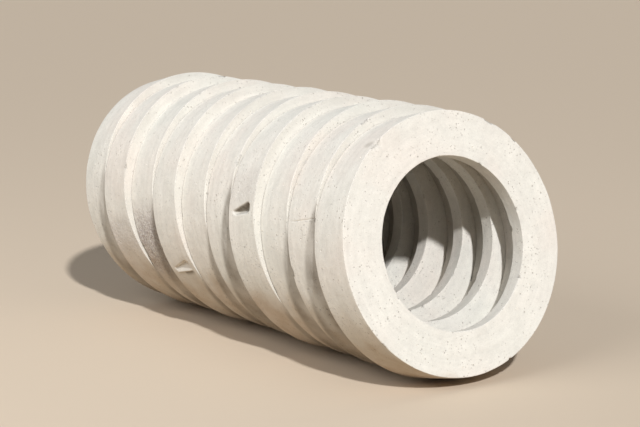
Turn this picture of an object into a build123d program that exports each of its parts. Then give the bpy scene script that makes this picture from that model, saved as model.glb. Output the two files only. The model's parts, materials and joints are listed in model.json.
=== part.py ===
from build123d import *
import math
import os

# A row of ten separate precast concrete shaft rings standing on edge, front ring first.
# Millimetres. +Z is up, the row runs along Y and its front end looks towards -Y.
# The origin is on the floor, under the middle of the row.

# Size of one ring
ring_outer_diameter = 920.0
ring_bore_diameter = 600.0
ring_height = 174.0
# The bore's lip is at the front of each ring, and a wider recess opens behind it
lip_length = 60.0
recess_diameter = 720.0

# How the rings stand
lean_degrees = 12.6
joint_gap = 0.3
# How far each ring has slid to the right along the floor, front ring first
ring_slides = (0.0, 9.0, 14.0, -9.0, 4.0, 3.0, -20.0, -15.0, -40.0, -30.0)

# Grip pocket cast in the outside of some rings, with sloping walls that leave the mould
pocket_length = 116.0
pocket_width = 46.0
pocket_depth = 24.0
pocket_wall_slope_degrees = 34.0
# Ring number, and the pocket's angle in degrees above the ring's middle on the left side
pocket_places = {4: 12.0, 7: -26.0}

outer_radius = ring_outer_diameter / 2
bore_radius = ring_bore_diameter / 2
recess_radius = recess_diameter / 2
lean = math.radians(lean_degrees)


def ring_section():
    """Half section of a ring: x is the radius, y the distance behind the front face."""
    return Polyline(
        (bore_radius, 0),
        (outer_radius, 0),
        (outer_radius, ring_height),
        (recess_radius, ring_height),
        (recess_radius, lip_length),
        (bore_radius, lip_length),
        close=True,
    )


def plain_ring():
    """A ring round the Y axis, with its front face at y = 0."""
    return revolve(make_face(ring_section()), Axis.Y)


def grip_pocket(angle):
    """The pocket's tool body on the ring's left side, at an angle above the middle.

    Its mouth lies on the plane that touches the ring's outside, so that the sloping walls
    reach the round surface all along the pocket.
    """
    mouth = Plane(origin=(-outer_radius, ring_height / 2, 0), x_dir=(0, 1, 0), z_dir=(1, 0, 0))
    outline = mouth * SlotOverall(pocket_length, pocket_width)
    tool = extrude(outline, amount=pocket_depth, taper=pocket_wall_slope_degrees)
    return Rot(0, angle, 0) * tool


def placed(ring, number):
    """Lean a ring back, set its lowest edge on the floor and put it in its place in the row."""
    step = (ring_height + joint_gap) / math.cos(lean)
    row_length = (len(ring_slides) - 1) * step + ring_height * math.cos(lean)
    middle = (max(ring_slides) + min(ring_slides)) / 2
    x = ring_slides[number - 1] - middle
    y = (number - 1) * step - row_length / 2
    z = outer_radius * math.cos(lean) + ring_height * math.sin(lean)
    return Pos(x, y, z) * Rot(-lean_degrees, 0, 0) * ring


def build_row():
    """Every ring by its node's name, front ring first."""
    rings = {}
    for number in range(1, len(ring_slides) + 1):
        ring = plain_ring()
        if number in pocket_places:
            ring = ring - grip_pocket(pocket_places[number])
        rings[f"ring_{number:02d}"] = placed(ring, number)
    return rings


os.makedirs("parts", exist_ok=True)
for name, ring in build_row().items():
    export_step(ring, f"parts/{name}.step")
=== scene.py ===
import json
import math

import bpy
import numpy as np
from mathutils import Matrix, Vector


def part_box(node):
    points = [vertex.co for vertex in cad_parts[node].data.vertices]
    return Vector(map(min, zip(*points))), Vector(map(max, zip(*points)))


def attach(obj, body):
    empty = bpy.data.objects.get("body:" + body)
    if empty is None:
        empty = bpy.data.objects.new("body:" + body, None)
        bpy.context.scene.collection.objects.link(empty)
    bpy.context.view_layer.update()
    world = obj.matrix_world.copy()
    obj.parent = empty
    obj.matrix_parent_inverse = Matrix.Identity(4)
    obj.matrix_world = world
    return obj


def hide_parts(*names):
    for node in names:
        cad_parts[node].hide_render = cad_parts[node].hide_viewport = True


bl_info = {
    "name": "Shaft ring row",
    "version": (1, 0, 0),
    "blender": (4, 5, 0),
    "location": "View3D > Sidebar > Shaft rings",
    "description": "Casts worn concrete shaft rings round the packed row and sets them on a plain floor",
    "category": "Object",
}

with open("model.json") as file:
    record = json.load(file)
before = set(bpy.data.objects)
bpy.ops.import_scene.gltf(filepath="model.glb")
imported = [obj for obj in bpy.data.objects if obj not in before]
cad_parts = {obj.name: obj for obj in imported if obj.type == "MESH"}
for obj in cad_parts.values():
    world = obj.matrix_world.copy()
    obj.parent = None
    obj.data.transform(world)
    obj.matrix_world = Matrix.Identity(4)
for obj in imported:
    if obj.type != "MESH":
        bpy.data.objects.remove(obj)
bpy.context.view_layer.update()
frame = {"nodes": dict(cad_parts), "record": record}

# Everything below is in metres, in the row's own frame. A ring's angle starts at its left side, seen
# from the front, and grows upwards. Its depth is measured along its axis, back from its front face.
MOUNTS = {mount["name"]: mount for mount in frame["record"]["mounts"]}
RINGS = sorted(name for name in frame["nodes"] if name.startswith("ring_"))

RIGHT = Vector((1, 0, 0))
REARWARD = -Vector(MOUNTS["front_bore"]["axis"])
FACE_UP = RIGHT.cross(REARWARD)

BORE_RADIUS = MOUNTS["front_bore"]["dims"]["r_mm"] / 1000
LIP_LENGTH = MOUNTS["front_bore"]["dims"]["length_mm"] / 1000
RECESS_RADIUS = MOUNTS["rear_recess"]["dims"]["r_mm"] / 1000
RING_HEIGHT = LIP_LENGTH + MOUNTS["rear_recess"]["dims"]["length_mm"] / 1000
OUTER_RADIUS = (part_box(RINGS[0])[1].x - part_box(RINGS[0])[0].x) / 2
FULL_TURN = 2 * math.pi

# The faces of a ring's half section, from the bore's front corner outwards, back, and in again. Each
# corner has the number of the face that starts there.
FRONT, OUTSIDE, REAR, RECESS, STEP, BORE = range(6)
FRONT_ARRIS = OUTSIDE
REAR_ARRIS = REAR

# Spacing of the points along a half section. The outside is a little finer in the first rings.
FIRST_RINGS = 5
FIRST_OUTSIDE_SPACING = 0.0062
OUTSIDE_SPACING = 0.0068
FACE_SPACING = 0.0098
# Distances from a worn arris to the points beside it
WORN_STEPS = (0.0015, 0.0035, 0.0065, 0.0110, 0.0170)
# Least distance between two steps round the outside
CLOSEST_STEPS = 0.0005
# Least length to divide by
TINY = 1e-6
# The seed of a ring's random numbers is this and its number
FIRST_SEED = 4100
# Fewest random heights round a ring and across its skin
LEAST_CELLS = 3

# Grip pockets of the imported rings: angle in degrees, slope of the lower wall away from the pocket's
# axis, how far the lower rim stands proud, and share of the painted shade in the pocket
POCKETS = {
    "ring_04": {"angle": 12.0, "lower_slope": math.radians(34.0), "rim": 0.0, "grime_and_shade": 1.0},
    "ring_07": {"angle": -26.0, "lower_slope": math.radians(64.0), "rim": 0.007, "grime_and_shade": 0.0},
}
POCKET_LENGTH = 0.116
POCKET_WIDTH = 0.046
POCKET_DEPTH = 0.024
POCKET_WALL_SLOPE = math.radians(34.0)
# Angle from a pocket's middle beyond which the ring is plain, in radians
POCKET_SPAN = 0.2
# Concrete left in a pocket's upper rear corner, above a line that falls towards the rear
CORNER_HEIGHT = 0.0123
CORNER_FALL = 0.267
# How far a proud lower rim takes to fade: below itself, up into the pocket, and at the pocket's ends
RIM_FADE = {"below": 0.005, "above": 0.020, "end": 0.014}
# Painted shade on a pocket's lower wall, the height from the middle above which it grows, the rise that
# would add 1 to it, and the depth that holds all of it
POCKET_SHADE = {"lower": 0.34, "height": -0.012, "rise": 0.012, "depth": 0.006}
# Finer steps round a ring at its pocket, and how far they go on past its rims
POCKET_STEP = 0.0024
POCKET_MARGIN = 0.008

# Painted shadow under a pocket's proud lower rim: its start and end behind the pocket's middle, its drop,
# how far its top, foot and ends take to fade, and its strength
UNDER_RIM_SHADOW = {
    "ring": "ring_07", "from": -0.066, "to": 0.006, "drop": 0.020,
    "top_fade": 0.004, "foot_fade": 0.007, "end_fade": 0.012, "strength": 0.75,
}
# Thin score across the outside of one ring, and the steps round the ring there, in half widths
SCORE = {"ring": "ring_02", "angle": 12.8, "from": 0.010, "to": 0.142, "half_width": 0.0018, "depth": 0.0030}
SCORE_STEPS = (-2.2, -1.0, -0.35, 0.35, 1.0, 2.2)

# Large chips: arris, angle in degrees, half the length along the arris, and reach from it
CHIPS = {
    "ring_01": [(FRONT_ARRIS, 53.0, 0.026, 0.019), (FRONT_ARRIS, 118.0, 0.020, 0.010)],
    "ring_05": [(FRONT_ARRIS, 31.0, 0.026, 0.014)],
    "ring_08": [(FRONT_ARRIS, -12.0, 0.060, 0.013), (REAR_ARRIS, -22.0, 0.050, 0.012)],
}
# Common chips: the range of half lengths, and the smallest reach as a share of the largest
CHIP_HALF_LENGTHS = (0.006, 0.020)
SMALLEST_CHIP = 0.35
# Waves in the reach of a chip: their size, and how much they change it
CHIP_WAVES = (0.012, 0.30)
# How much further than the wear a chip reaches where it looks wholly broken
BREAK_REACH = 0.003
# Waves in the wear along an arris: the size of each, and how much it changes it
WEAR_WAVES = ((0.11, 0.35), (0.03, 0.25))
# Least radius that a mark of wear is drawn for, and how far wear and fresh breaks show, in radii
LEAST_WORN_RADIUS = 0.002
WEAR_SHOWS = 1.6
FRESH_SHOWS = 1.25

# Rough, poorly compacted patches: angle and half spread in degrees, and strength
ROUGH = {"ring_08": (-20.0, 19.0, 1.0), "ring_09": (-17.0, 10.0, 0.35), "ring_04": (22.0, 9.0, 0.25)}
# How far from its middle a rough patch ends, in half spreads
ROUGH_END = 1.4

# Sizes of the bumps in the skin, round the ring and across it, and how deep each kind goes
HOLLOW_CELL = (0.17, 0.09)
DIMPLE_CELL = (0.030, 0.022)
DIMPLE_DEPTH = 0.0005
BAND_CELL = (0.60, 0.011)
BAND_DEPTH = 0.00045
GRIT_CELL = (0.011, 0.010)
ROUGH_GRIT_DEPTH = 0.0018
ROUGH_HOLLOW_DEPTH = 0.0016
BREAK_GRIT_DEPTH = 0.0016

# Open pores: tries for each, how far the first, middle and last points of its patch keep from an
# arris, the smallest as a share of the largest, and its least room round the ring, in radii
TRIES_PER_PORE = 3
PORE_CLEARANCE = (0.016, 0.016, 0.010)
SMALLEST_PORE = 0.35
PORE_ROOM = 3.0
# Shape of a pore, in radii: unevenness of its rim, reach and depth of its wall's foot, and its depth
PORE_UNEVENNESS = 0.3
PORE_WALL_FOOT = 0.72
PORE_WALL_DEPTH = 0.75
PORE_DEPTH = 1.05
# Soil in a pore
PORE_SOIL = 0.25
# The points round a patch of two by two faces, as steps round the ring and along the section
PATCH_LOOP = ((0, 0), (1, 0), (2, 0), (2, 1), (2, 2), (1, 2), (0, 2), (0, 1))

# Patches of more and less dirt and painted shade over the skin, round the ring and across it
DUST_CELL = (0.09, 0.05)
# Soil from splashes, and above it a thin layer of dirt that also paints the shade on the rings' low sides,
# each up to a height that the dust moves. The first ring has its own layer.
SOIL = {"height": 0.052, "sway": 0.03, "fade": 0.07, "strength": 1.0}
LOW_FILM_AND_SHADE = {"height": 0.31, "sway": 0.05, "fade": 0.12, "strength": 0.68}
FIRST_LOW_FILM_AND_SHADE = {**LOW_FILM_AND_SHADE, "height": 0.29, "fade": 0.15}
# Painted shadow at the joint in front of a ring, where the ring before it stands out by a step: the step that
# brings all of it, its reach back with no step and what each length of step adds, its fade and strength
JOINT_SHADOW = {"full_step": 0.008, "reach": 0.008, "reach_per_step": 4.2, "fade": 0.018, "strength": 0.66}
# More painted shade in the very corner, and a little at the joint behind a ring
CORNER_SHADE = {"reach": 0.020, "strength": 0.28}
REAR_JOINT_SHADE = {"full_step": 0.010, "reach": 0.010, "strength": 0.40}
MOST_JOINT_SHADOW = 0.95
# How many times as much painted shadow as the others a ring has at the joint in front of it
DARKER_JOINT_SHADOWS = {"ring_02": 1.14}
# Length added to the step in front of a ring, where the painted shadow reaches further than the step holds it
ADDED_STEPS = {"ring_02": 0.007, "ring_03": 0.002, "ring_05": 0.0035, "ring_10": 0.004}
# Painted shade at the joints, in the recesses and on the rims of the faces between rings: how much there is,
# and how much the dust changes it
JOINT_SHADE = (0.75, 0.35)
RECESS_SHADE = (0.45, 0.12)
RIM_SHADE = (0.235, 0.05)
# Width of that rim, in from the outside, and how far it takes to be full
RIM_WIDTH = 0.060
RIM_RISE = 0.030
# Faint dirty spots on the outside: angle in degrees, depth of the middle, radius, how much narrower
# they are along the ring, how far they take to fade, and strength
SPOTS = {"ring_01": {"angle": 52.5, "depth": 0.036, "radius": 0.028, "narrower": 1.5, "fade": 0.014,
                     "strength": 0.34}}


class RowSizes(bpy.types.PropertyGroup):
    """Sizes of the wear on the rings."""

    segments: bpy.props.IntProperty(
        name="Segments", description="Steps round one ring", default=360, min=48, max=720)
    edge_wear: bpy.props.FloatProperty(
        name="Edge wear", description="Usual radius of a worn arris", default=0.0030,
        subtype="DISTANCE", unit="LENGTH")
    chip_reach: bpy.props.FloatProperty(
        name="Chip reach", description="How far the largest common chip reaches from an arris",
        default=0.0085, subtype="DISTANCE", unit="LENGTH")
    chips: bpy.props.IntProperty(
        name="Chips", description="Chips along each arris of a ring", default=7, min=0, max=40)
    swell: bpy.props.FloatProperty(
        name="Hollows", description="Depth of the slow hollows in the cast faces", default=0.0012,
        subtype="DISTANCE", unit="LENGTH")
    pore_count: bpy.props.IntProperty(
        name="Pores", description="Open air pores in the skin of one ring", default=210, min=0, max=1000)
    pore_radius: bpy.props.FloatProperty(
        name="Pore radius", description="Radius of a large pore", default=0.0036,
        subtype="DISTANCE", unit="LENGTH")


class ConcreteColours(bpy.types.PropertyGroup):
    """Colours of the dry, sun-bleached concrete."""

    skin: bpy.props.FloatVectorProperty(
        name="Skin", description="Cement skin", subtype="COLOR", size=4,
        default=(0.849, 0.822, 0.760, 1))
    warm: bpy.props.FloatVectorProperty(
        name="Warm patch", description="Faintly pink patches", subtype="COLOR", size=4,
        default=(0.860, 0.802, 0.735, 1))
    cool: bpy.props.FloatVectorProperty(
        name="Cool patch", description="Faintly green grey patches", subtype="COLOR", size=4,
        default=(0.824, 0.811, 0.750, 1))
    aggregate: bpy.props.FloatVectorProperty(
        name="Aggregate", description="Sand and stone seen in pores and chips", subtype="COLOR", size=4,
        default=(0.43, 0.40, 0.35, 1))
    rough: bpy.props.FloatVectorProperty(
        name="Rough patch", description="Faintly purple stone in the poorly filled patches",
        subtype="COLOR", size=4, default=(0.43, 0.375, 0.36, 1))
    # This dark colour paints shade at the joints, in pockets and recesses and on the rims between rings, and
    # colours the real dirty spots
    grime_and_shade: bpy.props.FloatVectorProperty(
        name="Grime", description="Damp dark dirt in pockets, joints and recesses",
        subtype="COLOR", size=4, default=(0.17, 0.14, 0.105, 1))
    # This colour is dirt near the ground, and also paints the shade on the rings' low sides
    soil_and_shade: bpy.props.FloatVectorProperty(
        name="Soil", description="Dust and soil near the ground", subtype="COLOR", size=4,
        default=(0.47, 0.36, 0.25, 1))


class StageSettings(bpy.types.PropertyGroup):
    """Floor, lamps and camera."""

    floor_colour: bpy.props.FloatVectorProperty(
        name="Floor", description="Pale sand floor", subtype="COLOR", size=4,
        default=(0.68, 0.57, 0.45, 1))
    floor_bounce: bpy.props.FloatVectorProperty(
        name="Floor bounce", description="Floor's colour for the light that it sends back",
        subtype="COLOR", size=4, default=(0.52, 0.41, 0.29, 1))
    floor_radius: bpy.props.FloatProperty(
        name="Floor radius", description="Reach of the floor", default=70.0,
        subtype="DISTANCE", unit="LENGTH")
    key_strength: bpy.props.FloatProperty(
        name="Key lamp", description="Strength of the key lamp", default=2.94)
    key_softness: bpy.props.FloatProperty(
        name="Key softness", description="Apparent size of the key lamp", default=math.radians(2.5),
        subtype="ANGLE", unit="ROTATION")
    side_power: bpy.props.FloatProperty(
        name="Side lamp", description="Power of the large soft lamp at the left", default=150.0,
        unit="POWER")
    sky_strength: bpy.props.FloatProperty(
        name="Sky", description="Strength of the even light all round", default=0.185)
    eye: bpy.props.FloatVectorProperty(
        name="Eye", description="Where the camera stands", subtype="TRANSLATION", unit="LENGTH",
        default=(-3.913, -5.859, 1.688))
    aim: bpy.props.FloatVectorProperty(
        name="Aim", description="Point in the middle of the picture", subtype="TRANSLATION",
        unit="LENGTH", default=(0.02, -0.06, 0.47))
    lens: bpy.props.FloatProperty(
        name="Lens", description="Focal length on a 36 mm wide sensor, in millimetres", default=106.0)


# Random heights and angles

def eased(x):
    """A share from 0 to 1, with a soft start and end."""
    return x * x * (3 - 2 * x)


def raised(height):
    """A height from -1 to 1, moved to between 0 and 1."""
    return 0.5 + 0.5 * height


def grown(value, full):
    """How much of its full size a value has, from 0 to 1."""
    return np.clip(value / full, 0, 1)


def heights(rng, angles, travel, girth, around_cell, across_cell):
    """Smooth random heights from -1 to 1 over the skin, in bumps about one cell in size."""
    around = max(LEAST_CELLS, round(FULL_TURN * OUTER_RADIUS / around_cell))
    across = max(LEAST_CELLS, round(girth / across_cell))
    table = rng.uniform(-1, 1, (around, across))
    u = np.asarray(angles) % FULL_TURN / FULL_TURN * around
    v = np.asarray(travel) / girth * across
    i = np.floor(u).astype(int)
    j = np.floor(v).astype(int)
    share_u = eased(u - i)[:, None]
    share_v = eased(v - j)[None, :]
    near_i, far_i = i % around, (i + 1) % around
    near_j, far_j = j % across, (j + 1) % across
    near = table[np.ix_(near_i, near_j)] * (1 - share_v) + table[np.ix_(near_i, far_j)] * share_v
    far = table[np.ix_(far_i, near_j)] * (1 - share_v) + table[np.ix_(far_i, far_j)] * share_v
    return near * (1 - share_u) + far * share_u


def turn_heights(rng, angles, cell):
    """Smooth random heights from -1 to 1 round the ring alone."""
    return heights(rng, angles, travel=[0.0], girth=1.0, around_cell=cell, across_cell=1.0)[:, 0]


def angle_gap(a, b):
    """How far angle a is ahead of angle b, from minus half a turn to half a turn."""
    return (a - b + math.pi) % FULL_TURN - math.pi


# A ring's half section and its place

def ring_centre(name):
    """The middle of a ring's front face."""
    lip_middle = Vector(MOUNTS["front_bore"]["pos_m"])
    first = lip_middle - REARWARD * LIP_LENGTH / 2
    low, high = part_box(name)
    first_low, first_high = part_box(RINGS[0])
    return first + (low + high - first_low - first_high) / 2


def graded(length, worn_start, worn_end, spacing):
    """Distances of section points from a face's start, close together near a worn arris."""
    start = list(WORN_STEPS) if worn_start else []
    end = [length - step for step in reversed(WORN_STEPS)] if worn_end else []
    first = start[-1] if start else 0.0
    last = end[0] if end else length
    steps = max(1, round((last - first) / spacing))
    middle = [first + (last - first) * k / steps for k in range(1, steps)]
    return [0.0] + start + middle + end


class Section:
    """The points of a ring's half section, each with its face, the nearer corner and the directions there."""

    def __init__(self, outside_spacing):
        # Where each face starts: radius, depth, and whether that corner is a worn arris
        corners = {
            FRONT: (BORE_RADIUS, 0.0, True),
            OUTSIDE: (OUTER_RADIUS, 0.0, True),
            REAR: (OUTER_RADIUS, RING_HEIGHT, True),
            RECESS: (RECESS_RADIUS, RING_HEIGHT, True),
            STEP: (RECESS_RADIUS, LIP_LENGTH, False),
            BORE: (BORE_RADIUS, LIP_LENGTH, True),
        }
        self.corner_count = len(corners)
        following = [(face + 1) % self.corner_count for face in corners]
        runs = [np.subtract(corners[following[face]][:2], corners[face][:2]) for face in corners]
        lengths = [float(np.hypot(*run)) for run in runs]
        ways = [run / length for run, length in zip(runs, lengths)]
        self.points = []
        self.girth = 0.0
        for face, (radius, depth, worn_start) in corners.items():
            way, length = ways[face], lengths[face]
            worn_end = corners[following[face]][2]
            spacing = outside_spacing if face == OUTSIDE else FACE_SPACING
            for distance in graded(length, worn_start, worn_end, spacing):
                near_start = distance <= length / 2
                self.points.append({
                    "radius": radius + way[0] * distance,
                    "depth": depth + way[1] * distance,
                    "face": face,
                    "travel": self.girth + distance,
                    "corner": face if near_start else following[face],
                    "worn": worn_start if near_start else worn_end,
                    "reach": distance if near_start else length - distance,
                    "along": way if near_start else -way,
                    "inward": -ways[face - 1] if near_start else ways[following[face]],
                    "normal": np.array([way[1], -way[0]]),
                })
            self.girth += length

    def column(self, key):
        """One value of every point."""
        return np.array([point[key] for point in self.points])


def angles_about(middle, distances):
    """Angles round the outside at some distances from an angle in degrees."""
    return [(math.radians(middle) + distance / OUTER_RADIUS) % FULL_TURN for distance in distances]


def ring_angles(name, segments):
    """Angles round a ring, closer together where it has a pocket or a score."""
    angles = list(np.arange(segments) * FULL_TURN / segments)
    if name in POCKETS:
        half = POCKET_WIDTH / 2 + POCKET_MARGIN
        angles += angles_about(POCKETS[name]["angle"], np.arange(-half, half, POCKET_STEP))
    if name == SCORE["ring"]:
        angles += angles_about(SCORE["angle"], np.array(SCORE_STEPS) * SCORE["half_width"])
    angles = np.sort(np.array(angles))
    return angles[np.append(True, np.diff(angles) * OUTER_RADIUS > CLOSEST_STEPS)]


# Wear and marks

def arris_radii(name, rng, angles, sizes, corner):
    """Radius of wear at each angle along one arris, and how much of it is a fresh break."""
    base = 1
    for wave, change in WEAR_WAVES:
        base = base + change * turn_heights(rng, angles, wave)
    base = sizes.edge_wear * base
    found = []
    for _ in range(sizes.chips):
        angle = rng.uniform(0, FULL_TURN)
        half = rng.uniform(*CHIP_HALF_LENGTHS)
        share = SMALLEST_CHIP + (1 - SMALLEST_CHIP) * rng.random() ** 2
        found.append((angle, half, sizes.chip_reach * share))
    for arris, angle, half, reach in CHIPS.get(name, []):
        if arris == corner:
            found.append((math.radians(angle), half, reach))
    wave, change = CHIP_WAVES
    ragged = 1 + change * turn_heights(rng, angles, wave)
    chip = np.zeros(len(angles))
    for angle, half, reach in found:
        away = np.abs(angle_gap(angles, angle)) * OUTER_RADIUS / half
        chip = np.maximum(chip, reach * np.sqrt(np.clip(1 - away ** 2, 0, 1)))
    chip = chip * ragged
    broken = grown(chip - base, BREAK_REACH)
    return np.maximum(base, chip), broken


def worn_place(reach, radius, broken):
    """Where a point at some reach from a sharp arris goes, on a rounded one or across a chip.

    The first value runs from the arris along the point's own face, and the second into the ring.
    """
    out = radius - reach
    span = np.hypot(out, radius)
    round_x = radius - out * radius / span
    round_y = radius - radius * radius / span
    share = radius / (2 * radius - reach)
    flat_x = radius - share * out
    flat_y = radius - share * radius
    return round_x * (1 - broken) + flat_x * broken, round_y * (1 - broken) + flat_y * broken


def pocket_place(angle, angles, depths):
    """Where points lie about a pocket at an angle.

    It gives their angle, height and distance back from the pocket's middle, and whether they are near it.
    """
    gap = angle_gap(angles, math.radians(angle))[:, None]
    near = np.abs(gap) < POCKET_SPAN
    gap = np.where(near, gap, POCKET_SPAN)
    return gap, OUTER_RADIUS * np.sin(gap), (depths - RING_HEIGHT / 2)[None, :], near


def pocket_cut(name, angles, depths):
    """How far the outside is cut back at the grip pocket. Less than nothing stands proud."""
    pocket = POCKETS[name]
    gap, up, back, near = pocket_place(pocket["angle"], angles, depths)
    along = np.maximum(np.abs(back) - (POCKET_LENGTH - POCKET_WIDTH) / 2, 0)
    under_corner = (CORNER_HEIGHT - up - CORNER_FALL * back) / math.hypot(1, CORNER_FALL)
    inset = np.minimum(POCKET_WIDTH / 2 - np.hypot(up, along), under_corner)
    above_rim = up + POCKET_WIDTH / 2
    sunk = np.clip(inset / math.tan(POCKET_WALL_SLOPE), 0, POCKET_DEPTH)
    sunk = np.minimum(sunk, np.clip(above_rim / math.tan(pocket["lower_slope"]), 0, POCKET_DEPTH))
    bottom = (OUTER_RADIUS - sunk) / np.cos(gap)
    cut = np.maximum(OUTER_RADIUS - bottom, 0) * (inset > 0)
    below = 1 - grown(-above_rim, RIM_FADE["below"])
    above = 1 - grown(above_rim, RIM_FADE["above"])
    ends = grown(POCKET_LENGTH / 2 - np.abs(back), RIM_FADE["end"])
    rim = pocket["rim"] * np.minimum(below, above) * ends
    return (cut - rim) * near


def under_rim_shadow(angles, depths):
    """Strength of the painted shadow under a pocket's proud lower rim, from 0 to 1."""
    _, up, back, near = pocket_place(POCKETS[UNDER_RIM_SHADOW["ring"]]["angle"], angles, depths)
    below = -(up + POCKET_WIDTH / 2)
    top = grown(below, UNDER_RIM_SHADOW["top_fade"])
    foot = grown(UNDER_RIM_SHADOW["drop"] - below, UNDER_RIM_SHADOW["foot_fade"])
    start = grown(back - UNDER_RIM_SHADOW["from"], UNDER_RIM_SHADOW["end_fade"])
    end = grown(UNDER_RIM_SHADOW["to"] - back, UNDER_RIM_SHADOW["end_fade"])
    return UNDER_RIM_SHADOW["strength"] * (top * foot * (start * end) * near)


def score_cut(angles, depths):
    """Depth of the thin score across one ring's outside."""
    up = np.abs(angle_gap(angles, math.radians(SCORE["angle"]))) * OUTER_RADIUS
    shape = 1 - grown(up, SCORE["half_width"])[:, None]
    inside = ((depths > SCORE["from"]) & (depths < SCORE["to"]))[None, :]
    return SCORE["depth"] * np.sqrt(shape) * inside


def rough_strength(name, angles):
    """How rough the ring is at each angle, from 0 to 1."""
    if name not in ROUGH:
        return np.zeros(len(angles))
    middle, spread, strength = ROUGH[name]
    away = np.abs(angle_gap(angles, math.radians(middle))) / math.radians(spread)
    return strength * eased(np.clip(ROUGH_END - away, 0, 1))


def ground_dirt_and_shade(z, dust, height, sway, fade, strength):
    """Dirt up to a height that the dust moves, from 0 above to its strength below. For the thin layer above
    the splashes it also paints the shade on the low sides.
    """
    return strength * grown(height + sway * dust - z, fade)


def uneven(amount, dust):
    """An amount of painted shade that the dust changes from place to place."""
    level, change = amount
    return level + change * dust


def store(mesh, name, kind, field, values):
    """Keeps a value of each point of a mesh, under the name by which the finish reads it."""
    layer = mesh.attributes.new(name, kind, "POINT")
    layer.data.foreach_set(field, values.astype(np.float32).ravel())


def sharpen(mesh, sharp):
    """Makes each edge between two sharp points a sharp one."""
    ends = np.zeros(len(mesh.edges) * 2, np.int32)
    mesh.edges.foreach_get("vertices", ends)
    ends = ends.reshape(-1, 2)
    mesh.edges.foreach_set("use_edge_sharp", sharp[ends[:, 0]] & sharp[ends[:, 1]])


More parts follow.
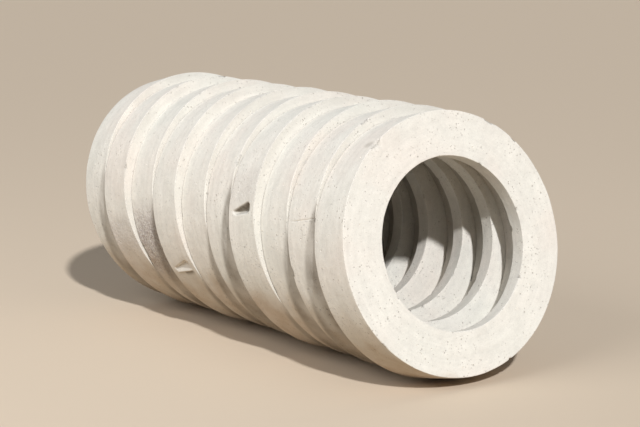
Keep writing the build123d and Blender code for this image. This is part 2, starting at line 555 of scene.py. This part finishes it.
class Skin:
    """A ring's skin as points, faces and marks, before it becomes a mesh.

    Its tables have a row for each angle round the ring and a column for each point of the section.
    """

    def __init__(self, name, sizes):
        self.name = name
        self.number = RINGS.index(name) + 1
        self.rng = np.random.default_rng(FIRST_SEED + self.number)
        self.section = Section(FIRST_OUTSIDE_SPACING if self.number <= FIRST_RINGS else OUTSIDE_SPACING)
        self.angles = ring_angles(name, sizes.segments)
        self.depth = self.section.column("depth")
        self.face = self.section.column("face")
        self.outside = (self.face == OUTSIDE)[None, :]
        self.radii = np.tile(self.section.column("radius"), (len(self.angles), 1))
        self.depths = np.tile(self.depth, (len(self.angles), 1))
        self.normals = np.tile(self.section.column("normal"), (len(self.angles), 1, 1))
        self.wear_arrises(sizes)
        self.sink_bumps(sizes)
        self.cut_hollow()
        self.place()
        self.mark()

    def heights(self, cell):
        """Smooth random heights from -1 to 1 over the skin, in bumps of a size round it and across."""
        travel = self.section.column("travel")
        return heights(self.rng, self.angles, travel, self.section.girth, *cell)

    def wear_arrises(self, sizes):
        """Rounds the arrises, breaks the chips out of them and notes both."""
        self.wear = np.zeros_like(self.radii)
        self.fresh = np.zeros_like(self.radii)
        worn = [arris_radii(self.name, self.rng, self.angles, sizes, corner)
                for corner in range(self.section.corner_count)]
        for j, point in enumerate(self.section.points):
            if not point["worn"]:
                continue
            reach, along, inward = point["reach"], point["along"], point["inward"]
            radius, broken = worn[point["corner"]]
            inside = reach < radius
            x, y = worn_place(reach, radius, broken)
            lean_x, lean_y = radius - x, radius - y
            lean = np.maximum(np.hypot(lean_x, lean_y), TINY)
            for k, values in enumerate((self.radii, self.depths)):
                moved = values[:, j] + along[k] * (x - reach) + inward[k] * y
                values[:, j] = np.where(inside, moved, values[:, j])
                tilted = -(along[k] * lean_x + inward[k] * lean_y) / lean
                self.normals[:, j, k] = np.where(inside, tilted, self.normals[:, j, k])
            self.wear[:, j] = np.clip(WEAR_SHOWS - reach / np.maximum(radius, LEAST_WORN_RADIUS), 0, 1)
            self.fresh[:, j] = broken * np.clip(FRESH_SHOWS - reach / radius, 0, 1)

    def sink_bumps(self, sizes):
        """Sinks hollows, casting bands and rough patches into the skin, so that none stands proud."""
        hollows = self.heights(HOLLOW_CELL)
        dimples = self.heights(DIMPLE_CELL)
        bands = self.heights(BAND_CELL)
        grit = raised(self.heights(GRIT_CELL))
        self.rough = rough_strength(self.name, self.angles)[:, None] * self.outside
        cut = sizes.swell * raised(hollows) + DIMPLE_DEPTH * raised(dimples) + BAND_DEPTH * raised(bands)
        cut = cut + self.rough * (ROUGH_GRIT_DEPTH * grit + ROUGH_HOLLOW_DEPTH * np.clip(dimples, 0, 1))
        cut = cut + BREAK_GRIT_DEPTH * self.fresh * grit
        self.radii = self.radii - self.normals[:, :, 0] * cut
        self.depths = self.depths - self.normals[:, :, 1] * cut

    def cut_hollow(self):
        """Cuts the ring's grip pocket or score into its outside."""
        self.hollow = np.zeros_like(self.radii)
        if self.name in POCKETS:
            self.hollow = pocket_cut(self.name, self.angles, self.depth) * self.outside
        if self.name == SCORE["ring"]:
            self.hollow = score_cut(self.angles, self.depth) * self.outside
        self.radii = self.radii - self.hollow

    def place(self):
        """Turns radii and depths into points in the row's frame."""
        centre = np.array(ring_centre(self.name))
        right, rearward, up = (np.array(v) for v in (RIGHT, REARWARD, FACE_UP))
        cos = np.cos(self.angles)[:, None, None]
        sin = np.sin(self.angles)[:, None, None]
        radial = -cos * right + sin * up
        self.points = centre + self.radii[:, :, None] * radial + self.depths[:, :, None] * rearward
        self.outward = self.normals[:, :, :1] * radial + self.normals[:, :, 1:] * rearward

    def in_ring(self, points):
        """Points in the ring's own upright frame: left of the axis, back along it, and up."""
        away = points - np.array(ring_centre(self.name))
        left, back, up = -away @ np.array(RIGHT), away @ np.array(REARWARD), away @ np.array(FACE_UP)
        return np.stack([left, back, up], axis=-1)

    def step_out(self, neighbour):
        """How far this ring's outside stands out beyond that of the ring of a number, at each angle."""
        if not 1 <= neighbour <= len(RINGS):
            return np.zeros(len(self.angles))
        away = ring_centre(self.name) - ring_centre(RINGS[neighbour - 1])
        return np.cos(self.angles) * -away.dot(RIGHT) + np.sin(self.angles) * away.dot(FACE_UP)

    def joint_shadow(self):
        """Painted shadow in the corner where a neighbour stands out beyond this ring, from 0 to 1."""
        ahead = np.maximum(ADDED_STEPS.get(self.name, 0.0) - self.step_out(self.number - 1), 0)[:, None]
        behind = np.maximum(-self.step_out(self.number + 1), 0)[:, None]
        reach = JOINT_SHADOW["reach"] + JOINT_SHADOW["reach_per_step"] * ahead
        in_shadow = grown(reach - self.depth, JOINT_SHADOW["fade"])
        corner = 1 - grown(self.depth, CORNER_SHADE["reach"])
        front = JOINT_SHADOW["strength"] * in_shadow + CORNER_SHADE["strength"] * corner
        front = grown(ahead, JOINT_SHADOW["full_step"]) * front
        front = np.minimum(DARKER_JOINT_SHADOWS.get(self.name, 1.0) * front, MOST_JOINT_SHADOW)
        rear = 1 - grown(RING_HEIGHT - self.depth, REAR_JOINT_SHADE["reach"])
        rear = grown(behind, REAR_JOINT_SHADE["full_step"]) * rear
        return np.maximum(front, REAR_JOINT_SHADE["strength"] * rear)

    def spot(self):
        """How much of the ring's faint dirty spot covers each point."""
        if self.name not in SPOTS:
            return np.zeros(self.radii.shape)
        spot = SPOTS[self.name]
        along = angle_gap(self.angles, math.radians(spot["angle"]))[:, None] * OUTER_RADIUS
        away = np.hypot(along * spot["narrower"], self.depth - spot["depth"])
        return spot["strength"] * grown(spot["radius"] - away, spot["fade"])

    def pocket_shade(self):
        """Painted shade in the ring's grip pocket, with less of it on the lower wall."""
        pocket = POCKETS[self.name]
        _, up, _, near = pocket_place(pocket["angle"], self.angles, self.depth)
        risen = POCKET_SHADE["lower"] + (up - POCKET_SHADE["height"]) / POCKET_SHADE["rise"]
        held = grown(self.hollow, POCKET_SHADE["depth"])
        return pocket["grime_and_shade"] * (np.clip(risen, POCKET_SHADE["lower"], 1) * near * held)

    def mark(self):
        """Marks for the finish, from 0 to 1: fresh breaks, dirt near the ground with painted shade on the low
        sides, rough skin, worn arrises, and painted shade at joints, recesses, rims and pockets with a few
        dirty spots.
        """
        z = self.points[:, :, 2]
        dust = self.heights(DUST_CELL)
        # A thin layer of dirt that also paints the shade on the rings' low sides
        film_and_shade = ground_dirt_and_shade(z, dust, **(FIRST_LOW_FILM_AND_SHADE if self.number == 1 else LOW_FILM_AND_SHADE)) * self.outside
        soil_and_shade = np.maximum(ground_dirt_and_shade(z, dust, **SOIL), film_and_shade)
        # Painted shadow at the joints where a neighbour stands out, and the real dirty spots
        grime_and_shade = np.maximum(self.joint_shadow() * uneven(JOINT_SHADE, dust), self.spot()) * self.outside
        in_recess = np.isin(self.face, (RECESS, STEP))[None, :]
        # Painted shade in the recesses
        grime_and_shade = np.maximum(grime_and_shade, uneven(RECESS_SHADE, dust) * in_recess)
        if self.number > 1:
            # Painted shade on the rims of the faces between rings
            rim = grown(self.radii - OUTER_RADIUS + RIM_WIDTH, RIM_RISE)
            rim = rim * (self.face == FRONT)[None, :]
            grime_and_shade = np.maximum(grime_and_shade, uneven(RIM_SHADE, dust) * rim)
        if self.name in POCKETS:
            # Painted shade in the grip pocket
            grime_and_shade = np.maximum(grime_and_shade, self.pocket_shade())
        if self.name == UNDER_RIM_SHADOW["ring"]:
            # Painted shadow under the pocket's proud lower rim
            grime_and_shade = np.maximum(grime_and_shade, under_rim_shadow(self.angles, self.depth) * self.outside)
        self.marks = np.clip(np.stack([self.fresh, soil_and_shade, self.rough, self.wear, grime_and_shade], axis=-1), 0, 1)

    def pore_spots(self, count, radius):
        """Places for open pores, as patches of two by two faces that don't meet."""
        points = self.section.points
        n, m = self.radii.shape
        flat = [
            j for j in range(m - 2)
            if points[j]["face"] == points[j + 2]["face"]
            and all(points[j + k]["reach"] > clearance for k, clearance in enumerate(PORE_CLEARANCE))
        ]
        taken = np.zeros((n, m), bool)
        spots = []
        for _ in range(count * TRIES_PER_PORE):
            if len(spots) == count:
                break
            i = int(self.rng.integers(0, n - 3))
            j = int(self.rng.choice(flat))
            around = (self.angles[i + 2] - self.angles[i]) * points[j]["radius"]
            size = radius * (SMALLEST_PORE + (1 - SMALLEST_PORE) * self.rng.random() ** 3)
            patch = np.s_[i:i + 3, j:j + 3]
            if taken[patch].any() or self.hollow[patch].any() or around < PORE_ROOM * size:
                continue
            taken[patch] = True
            spots.append((i, j, size))
        return spots

    def pore(self, i, j, size, first):
        """An open pore in a patch: its points, numbered from the first, their marks, and its faces."""
        m = self.radii.shape[1]
        outer = [(i + di) * m + j + dj for di, dj in PATCH_LOOP]
        count = len(outer)
        middle = self.points[i + 1, j + 1]
        out = self.outward[i + 1, j + 1]
        spokes = self.points.reshape(-1, 3)[outer] - middle
        spokes = spokes - (spokes @ out)[:, None] * out
        spokes = spokes / np.linalg.norm(spokes, axis=1)[:, None]
        squash = 1 + PORE_UNEVENNESS * self.rng.uniform(-1, 1, count)[:, None]
        rim = middle + spokes * size * squash
        foot = middle + spokes * size * PORE_WALL_FOOT * squash - out * size * PORE_WALL_DEPTH
        deepest = middle - out * size * PORE_DEPTH
        rim_mark = self.marks[i, j]
        fresh, _, rough, _, grime_and_shade = rim_mark
        inner_mark = np.array([fresh, PORE_SOIL, rough, 0, grime_and_shade])
        faces = []
        for k in range(count):
            after = (k + 1) % count
            faces.append((outer[k], outer[after], first + after, first + k))
            faces.append((first + k, first + after, first + count + after, first + count + k))
            faces.append((first + count + k, first + count + after, first + 2 * count))
        points = list(rim) + list(foot) + [deepest]
        return points, [rim_mark] * count + [inner_mark] * (count + 1), faces

    def mesh(self, sizes):
        """The ring's mesh, with its open pores, its marks and its sharp edges."""
        # Point number i * m + j is the one in row i and column j
        n, m = self.radii.shape
        i = np.arange(n)[:, None]
        j = np.arange(m)[None, :]
        next_i, next_j = (i + 1) % n, (j + 1) % m
        quads = np.stack([i * m + j, next_i * m + j, next_i * m + next_j, i * m + next_j], -1)
        whole = np.ones((n, m), bool)
        pore_points, pore_marks, pore_faces, rims = [], [], [], []
        for pore_i, pore_j, size in self.pore_spots(sizes.pore_count, sizes.pore_radius):
            whole[pore_i:pore_i + 2, pore_j:pore_j + 2] = False
            first = n * m + len(pore_points)
            rims += range(first, first + len(PATCH_LOOP))
            new_points, new_marks, new_faces = self.pore(pore_i, pore_j, size, first)
            pore_points += new_points
            pore_marks += new_marks
            pore_faces += new_faces
        points = np.vstack([self.points.reshape(-1, 3), np.array(pore_points).reshape(-1, 3)])
        kinds = self.marks.shape[-1]
        marks = np.vstack([self.marks.reshape(-1, kinds), np.array(pore_marks).reshape(-1, kinds)])
        skin_faces = quads[whole]
        # The middle point of a pore's patch is in no face any more, so it is left out
        used = np.ones(len(points), bool)
        used[:n * m] = False
        used[skin_faces.ravel()] = True
        renumber = np.cumsum(used) - 1
        faces = renumber[skin_faces].tolist() + [renumber[list(face)].tolist() for face in pore_faces]
        mesh = bpy.data.meshes.new(self.name + "_cast")
        mesh.from_pydata(points[used].tolist(), [], faces)
        mesh.polygons.foreach_set("use_smooth", np.ones(len(mesh.polygons), bool))
        sharp = np.zeros(len(points), bool)
        for k, point in enumerate(self.section.points):
            if not point["worn"] and point["reach"] == 0.0:
                sharp[np.arange(n) * m + k] = True
        sharp[rims] = True
        sharpen(mesh, sharp[used])
        # A colour holds the first four marks, and the last, painted shade with some dirty spots, has a layer
        # of its own
        store(mesh, "marks", "FLOAT_COLOR", "color", marks[used, :4])
        store(mesh, "grime_and_shade", "FLOAT", "value", marks[used, 4])
        store(mesh, "ring_place", "FLOAT_VECTOR", "vector", self.in_ring(points[used]))
        store(mesh, "cast_number", "FLOAT", "value", np.full(len(mesh.vertices), float(self.number)))
        mesh.update()
        return mesh


def put(name, data):
    """Puts a new object into the scene."""
    thing = bpy.data.objects.new(name, data)
    bpy.context.scene.collection.objects.link(thing)
    return thing


def cast_ring(name):
    """Makes one worn ring, with its finish, in place of its plain solid."""
    scene = bpy.context.scene
    piece = put(name + "_cast", Skin(name, scene.row_sizes).mesh(scene.row_sizes))
    piece.data.materials.append(concrete_material(scene.concrete_colours))
    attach(piece, "root")
    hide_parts(name)


# Finish

# The patterns, by scale, detail and roughness of their noise. The streaks' place is drawn out first.
NOISES = {
    "clouds": (9.0, 5.0, 0.62),
    "blotches": (38.0, 4.0, 0.66),
    "streaks": (1.0, 4.0, 0.62),
    "grain": (420.0, 2.0, 0.60),
    "mottle": (120.0, 4.0, 0.72),
    "patches": (3.4, 3.0, 0.55),
    "breakage": (95.0, 3.0, 0.70),
}
# How a pattern is used: its limits, and what it gives at each of them
RANGES = {
    "mottle": (0.42, 0.58, 0.0, 1.0),
    "pore size": (0.34, 0.66, 0.05, 0.21),
    "warm": (0.50, 0.66, 0.0, 0.8),
    "cool": (0.48, 0.34, 0.0, 0.8),
    "sand grains": (0.30, 0.10, 0.0, 1.0),
    "sandy patches": (0.46, 0.64, 0.0, 1.0),
    "rough stone": (0.0, 1.0, 0.30, 0.92),
    "fresh stone": (0.0, 1.0, 0.35, 0.80),
    "uneven soil": (0.32, 0.62, 0.45, 1.0),
    "uneven grime": (0.30, 0.60, 0.72, 1.0),
    "roughness": (0.30, 0.70, 0.80, 0.96),
}
# How each pattern lightens and darkens the skin
TONES = {
    "clouds": (0.30, 0.70, 0.925, 1.035),
    "streaks": (0.30, 0.70, 0.950, 1.030),
    "blotches": (0.30, 0.70, 0.935, 1.040),
    "grain": (0.25, 0.75, 0.920, 1.050),
}
# How each pattern raises the skin: strength and height
BUMPS = {
    "clouds": (0.80, 0.0035),
    "streaks": (0.70, 0.0007),
    "blotches": (0.80, 0.0014),
    "grain": (0.55, 0.0005),
    "pits": (0.90, -0.0018),
    "breakage": (1.00, 0.0070),
}
# Scattered points in a metre, for the sand and for small and large pits
SAND_SCALE = 310.0
SMALL_PIT_SCALE = 96.0
LARGE_PIT_SCALE = 40.0
LARGE_PIT_SIZE = 0.85
PIT_EDGE = 0.045
# How strongly the stone shows in sand grains, in pits and on worn arrises
SAND_SHOWS = 0.42
PITS_SHOW = 0.56
WORN_STONE_SHOWS = 0.28
# Streaks in a metre round the ring and across it
STREAKS_ALONG = 4.0
STREAKS_ACROSS = 55.0
# How far each ring moves on in the patterns from the one before
PATTERN_SHIFT = 3.7
CONCRETE_SPECULAR = 0.35


def feed(tree, node, inputs):
    """Links each input of a node that is given a socket, and sets any other."""
    for key, value in inputs.items():
        if isinstance(value, bpy.types.NodeSocket):
            tree.links.new(value, node.inputs[key])
        else:
            node.inputs[key].default_value = value


def add(tree, kind, inputs, **settings):
    """Adds a shader node."""
    node = tree.nodes.new(kind)
    for key, value in settings.items():
        setattr(node, key, value)
    feed(tree, node, inputs)
    return node


def blend_colours(tree, share, first, second):
    """From the first colour to the second, by a share."""
    return add(tree, "ShaderNodeMix", {0: share, 6: first, 7: second}, data_type="RGBA").outputs[2]


def ramp(tree, value, low, high, low_out, high_out):
    """Spreads a value between two limits over another range, and holds it at the ends."""
    node = add(tree, "ShaderNodeMapRange",
               {"Value": value, "From Min": low, "From Max": high, "To Min": low_out, "To Max": high_out})
    return node.outputs[0]


def maths(tree, operation, first, second):
    """One step of arithmetic on two values."""
    return add(tree, "ShaderNodeMath", {0: first, 1: second}, operation=operation).outputs[0]


class Finish:
    """The concrete's node tree: dry, bleached cement skin with casting streaks, sand grain and pores."""

    def __init__(self, tree):
        self.tree = tree
        marks = self.stored("marks")
        # The second mark holds dirt near the ground and painted shade on the low sides
        split = add(tree, "ShaderNodeSeparateColor", {"Color": marks.outputs["Color"]})
        self.fresh, self.soil_and_shade, self.rough = (split.outputs[k] for k in range(3))
        self.wear = marks.outputs["Alpha"]
        # Painted shade at joints, recesses, rims and pockets, with some real dirty spots
        self.grime_and_shade = self.stored("grime_and_shade").outputs["Fac"]
        own = self.product(self.stored("cast_number").outputs["Fac"], PATTERN_SHIFT)
        self.shift = add(tree, "ShaderNodeCombineXYZ", {0: own, 2: own}).outputs[0]
        self.in_ring = self.stored("ring_place").outputs["Vector"]
        self.place = self.shifted(self.in_ring)
        self.patterns = {key: self.noise(key, self.place) for key in ("clouds", "blotches", "grain")}
        self.patterns["streaks"] = self.noise("streaks", self.drawn_out())
        self.patterns["sand"] = self.cells(SAND_SCALE)
        self.patterns["mottle"] = ramp(tree, self.noise("mottle", self.place), *RANGES["mottle"])
        pore_size = self.ranged("clouds", "pore size")
        large = self.round_pits(LARGE_PIT_SCALE, self.product(pore_size, LARGE_PIT_SIZE))
        small = self.round_pits(SMALL_PIT_SCALE, pore_size)
        self.patterns["pits"] = maths(tree, "MAXIMUM", small, large)

    def stored(self, name):
        """The values that the mesh keeps under a name."""
        return add(self.tree, "ShaderNodeAttribute", {}, attribute_name=name)

    def shifted(self, place):
        """Moves each ring to its own part of the patterns, so that no two rings look alike."""
        return add(self.tree, "ShaderNodeVectorMath", {0: place, 1: self.shift}).outputs[0]

    def drawn_out(self):
        """Place stretched round the ring, for streaks that follow the mould's and the trowel's turn."""
        tree = self.tree
        left, back, up = add(tree, "ShaderNodeSeparateXYZ", {0: self.in_ring}).outputs
        square = maths(tree, "ADD", self.product(left, left), self.product(up, up))
        across = maths(tree, "ADD", maths(tree, "SQRT", square, 0.0), back)
        drawn = add(tree, "ShaderNodeCombineXYZ", {
            0: self.product(left, STREAKS_ALONG),
            1: self.product(across, STREAKS_ACROSS),
            2: self.product(up, STREAKS_ALONG),
        })
        return self.shifted(drawn.outputs[0])

    def noise(self, key, place):
        """One of the named noises, over a place."""
        scale, detail, roughness = NOISES[key]
        return add(self.tree, "ShaderNodeTexNoise", {
            "Vector": place, "Scale": scale, "Detail": detail, "Roughness": roughness}).outputs[0]

    def cells(self, scale):
        """Distance to the nearest of many scattered points, in cells."""
        points = add(self.tree, "ShaderNodeTexVoronoi", {"Vector": self.place, "Scale": scale})
        return points.outputs["Distance"]

    def round_pits(self, scale, radius):
        """Round pits about scattered points, from 0 outside to 1 well inside."""
        inside = maths(self.tree, "SUBTRACT", radius, self.cells(scale))
        return ramp(self.tree, inside, 0.0, PIT_EDGE, 0.0, 1.0)

    def ranged(self, pattern, use):
        """A pattern spread over the range of one use of it."""
        return ramp(self.tree, self.patterns[pattern], *RANGES[use])

    def product(self, *values):
        """All the values multiplied."""
        result = values[0]
        for value in values[1:]:
            result = maths(self.tree, "MULTIPLY", result, value)
        return result

    def colour(self, colours):
        """The skin's colour and tone, then sand and pits, rough and bared stone, dirt near the ground with
        painted shade on the low sides, and painted shade at joints, recesses, rims and pockets with a few
        dirty spots.
        """
        tree = self.tree
        patches = self.noise("patches", self.place)
        colour = blend_colours(tree, ramp(tree, patches, *RANGES["warm"]), colours.skin, colours.warm)
        colour = blend_colours(tree, ramp(tree, patches, *RANGES["cool"]), colour, colours.cool)
        tone = self.product(*(ramp(tree, self.patterns[key], *limits) for key, limits in TONES.items()))
        colour = add(tree, "ShaderNodeVectorMath", {0: colour, "Scale": tone}, operation="SCALE").outputs[0]
        sand = self.product(self.ranged("sand", "sand grains"), self.ranged("blotches", "sandy patches"),
                            SAND_SHOWS)
        broken = self.product(self.fresh, self.ranged("mottle", "fresh stone"))
        worn = self.product(self.wear, self.patterns["mottle"], WORN_STONE_SHOWS)
        layers = (
            (maths(tree, "MAXIMUM", sand, self.product(self.patterns["pits"], PITS_SHOW)), colours.aggregate),
            (self.product(self.rough, self.ranged("mottle", "rough stone")), colours.rough),
            (maths(tree, "MAXIMUM", broken, worn), colours.aggregate),
            # Dirt near the ground, and painted shade on the low sides
            (self.product(self.soil_and_shade, self.ranged("clouds", "uneven soil")), colours.soil_and_shade),
            # Painted shade at joints, recesses, rims and pockets, and real dirty spots
            (self.product(self.grime_and_shade, self.ranged("blotches", "uneven grime")), colours.grime_and_shade),
        )
        for share, shown in layers:
            colour = blend_colours(tree, share, colour, shown)
        return colour

    def relief(self):
        """The skin's finest relief, as one bump after another."""
        tree = self.tree
        broken = maths(tree, "MAXIMUM", self.rough, self.fresh)
        self.patterns["breakage"] = self.product(broken, self.noise("breakage", self.place))
        normal = None
        for key, (strength, distance) in BUMPS.items():
            inputs = {"Height": self.patterns[key], "Strength": strength, "Distance": distance}
            if normal:
                inputs["Normal"] = normal
            normal = add(tree, "ShaderNodeBump", inputs).outputs[0]
        return normal


def concrete_material(colours):
    """The one finish that all the rings share."""
    known = bpy.data.materials.get("weathered_concrete")
    if known:
        return known
    material = bpy.data.materials.new("weathered_concrete")
    material.use_nodes = True
    tree = material.node_tree
    finish = Finish(tree)
    feed(tree, tree.nodes["Principled BSDF"], {
        "Base Color": finish.colour(colours),
        "Roughness": finish.ranged("clouds", "roughness"),
        "Normal": finish.relief(),
        "Specular IOR Level": CONCRETE_SPECULAR,
    })
    return material


# Stage

# Where the key lamp stands, seen from the row's front end: how far to the left, and how high
KEY_TURN = math.radians(19.5)
KEY_RISE = math.radians(37.3)
# The large soft lamp: its place, the point that it faces, and its size
SIDE_PLACE = Vector((-5.3, -0.9, 4.1))
SIDE_AIM = Vector((0, 0, 0.4))
SIDE_SIZE = (5.0, 3.0)
# Colours of the sky's light and of the background that it shows
SKY_LIGHT = (0.96, 0.98, 1.0, 1)
SKY_SEEN = (0.86, 0.83, 0.79, 1)
FLOOR_STEPS = 96
FLOOR_ROUGHNESS = 0.95
FLOOR_SPECULAR = 0.1
# In millimetres
SENSOR_WIDTH = 36.0


def seen_rays(tree):
    """1 for rays that show a background, straight or in gloss and glass, and 0 for rays that only light."""
    path = add(tree, "ShaderNodeLightPath", {})
    looks = maths(tree, "MAXIMUM", path.outputs["Is Camera Ray"], path.outputs["Is Glossy Ray"])
    return maths(tree, "MAXIMUM", looks, path.outputs["Is Transmission Ray"])


def floor_material(settings):
    """Pale matt sand that sends less light back on to the rings than it shows."""
    material = bpy.data.materials.new("floor_sand")
    material.use_nodes = True
    tree = material.node_tree
    feed(tree, tree.nodes["Principled BSDF"], {
        "Base Color": blend_colours(tree, seen_rays(tree), settings.floor_bounce, settings.floor_colour),
        "Roughness": FLOOR_ROUGHNESS,
        "Specular IOR Level": FLOOR_SPECULAR,
    })
    return material


def make_floor(settings):
    """A wide round floor under the row."""
    turns = [k * FULL_TURN / FLOOR_STEPS for k in range(FLOOR_STEPS)]
    rim = [(settings.floor_radius * math.cos(a), settings.floor_radius * math.sin(a), 0.0) for a in turns]
    mesh = bpy.data.meshes.new("floor")
    mesh.from_pydata(rim, [], [tuple(range(FLOOR_STEPS))])
    mesh.materials.append(floor_material(settings))
    floor = put("floor", mesh)


def put_facing(name, data, away, place=(0, 0, 0)):
    """Puts a lamp or camera into the scene, where it looks against a direction."""
    thing = put(name, data)
    thing.location = place
    thing.rotation_euler = away.to_track_quat("Z", "Y").to_euler()
    return thing


def make_lamps(settings):
    """The key lamp, and a large soft lamp high at the left."""
    level = math.cos(KEY_RISE)
    to_key = Vector((-math.sin(KEY_TURN) * level, -math.cos(KEY_TURN) * level, math.sin(KEY_RISE)))
    key = bpy.data.lights.new("key", "SUN")
    key.energy = settings.key_strength
    key.angle = settings.key_softness
    put_facing("key", key, to_key)
    side = bpy.data.lights.new("side", "AREA")
    side.energy = settings.side_power
    side.shape = "RECTANGLE"
    side.size, side.size_y = SIDE_SIZE
    put_facing("side", side, SIDE_PLACE - SIDE_AIM, SIDE_PLACE)


def make_sky(settings):
    """A low, even light all round, behind a plain pale background."""
    world = bpy.data.worlds.new("sky")
    bpy.context.scene.world = world
    world.use_nodes = True
    tree = world.node_tree
    light = tree.nodes["Background"]
    feed(tree, light, {"Color": SKY_LIGHT, "Strength": settings.sky_strength})
    seen = add(tree, "ShaderNodeBackground", {"Color": SKY_SEEN, "Strength": 1.0})
    mixed = add(tree, "ShaderNodeMixShader", {0: seen_rays(tree), 1: light.outputs[0], 2: seen.outputs[0]})
    feed(tree, tree.nodes["World Output"], {"Surface": mixed.outputs[0]})


def make_camera(settings):
    """The camera, which sees to beyond the floor's far rim."""
    camera = bpy.data.cameras.new("camera")
    camera.sensor_width = SENSOR_WIDTH
    camera.lens = settings.lens
    camera.clip_end = 3 * settings.floor_radius
    eye = Vector(settings.eye)
    bpy.context.scene.camera = put_facing("camera", camera, eye - Vector(settings.aim), eye)


class SHAFTROW_OT_cast_plain_rings(bpy.types.Operator):
    """Cast the rings that have no grip pocket"""

    bl_idname = "shaftrow.cast_plain_rings"
    bl_label = "Cast plain rings"

    def execute(self, context):
        for name in RINGS:
            if name not in POCKETS:
                cast_ring(name)
        return {"FINISHED"}


class SHAFTROW_OT_cast_pocket_rings(bpy.types.Operator):
    """Cast the rings that have a grip pocket in their left side"""

    bl_idname = "shaftrow.cast_pocket_rings"
    bl_label = "Cast pocket rings"

    def execute(self, context):
        for name in POCKETS:
            cast_ring(name)
        return {"FINISHED"}


class SHAFTROW_OT_set_stage(bpy.types.Operator):
    """Lay the floor and set up the lamps, the sky and the camera"""

    bl_idname = "shaftrow.set_stage"
    bl_label = "Set stage"

    def execute(self, context):
        settings = context.scene.stage_settings
        context.scene.view_settings.view_transform = "Standard"
        make_floor(settings)
        make_lamps(settings)
        make_sky(settings)
        make_camera(settings)
        return {"FINISHED"}


SETTINGS = {"row_sizes": RowSizes, "concrete_colours": ConcreteColours, "stage_settings": StageSettings}
OPERATORS = (SHAFTROW_OT_cast_plain_rings, SHAFTROW_OT_cast_pocket_rings, SHAFTROW_OT_set_stage)


class SHAFTROW_PT_panel(bpy.types.Panel):
    """Sizes, colours and steps of the ring row"""

    bl_idname = "SHAFTROW_PT_panel"
    bl_label = "Shaft rings"
    bl_space_type = "VIEW_3D"
    bl_region_type = "UI"
    bl_category = "Shaft rings"

    def draw(self, context):
        for key, group in SETTINGS.items():
            box = self.layout.box()
            for value in group.__annotations__:
                box.prop(getattr(context.scene, key), value)
        for operator in OPERATORS:
            self.layout.operator(operator.bl_idname)


def register():
    for key, group in SETTINGS.items():
        bpy.utils.register_class(group)
        setattr(bpy.types.Scene, key, bpy.props.PointerProperty(type=group))
    for operator in OPERATORS:
        bpy.utils.register_class(operator)
    bpy.utils.register_class(SHAFTROW_PT_panel)


def unregister():
    bpy.utils.unregister_class(SHAFTROW_PT_panel)
    for operator in reversed(OPERATORS):
        bpy.utils.unregister_class(operator)
    for key, group in SETTINGS.items():
        delattr(bpy.types.Scene, key)
        bpy.utils.unregister_class(group)


def main():
    """Casts the rings and sets the stage."""
    register()
    bpy.ops.shaftrow.cast_plain_rings()
    bpy.ops.shaftrow.cast_pocket_rings()
    bpy.ops.shaftrow.set_stage()


if __name__ == "__main__":
    main()
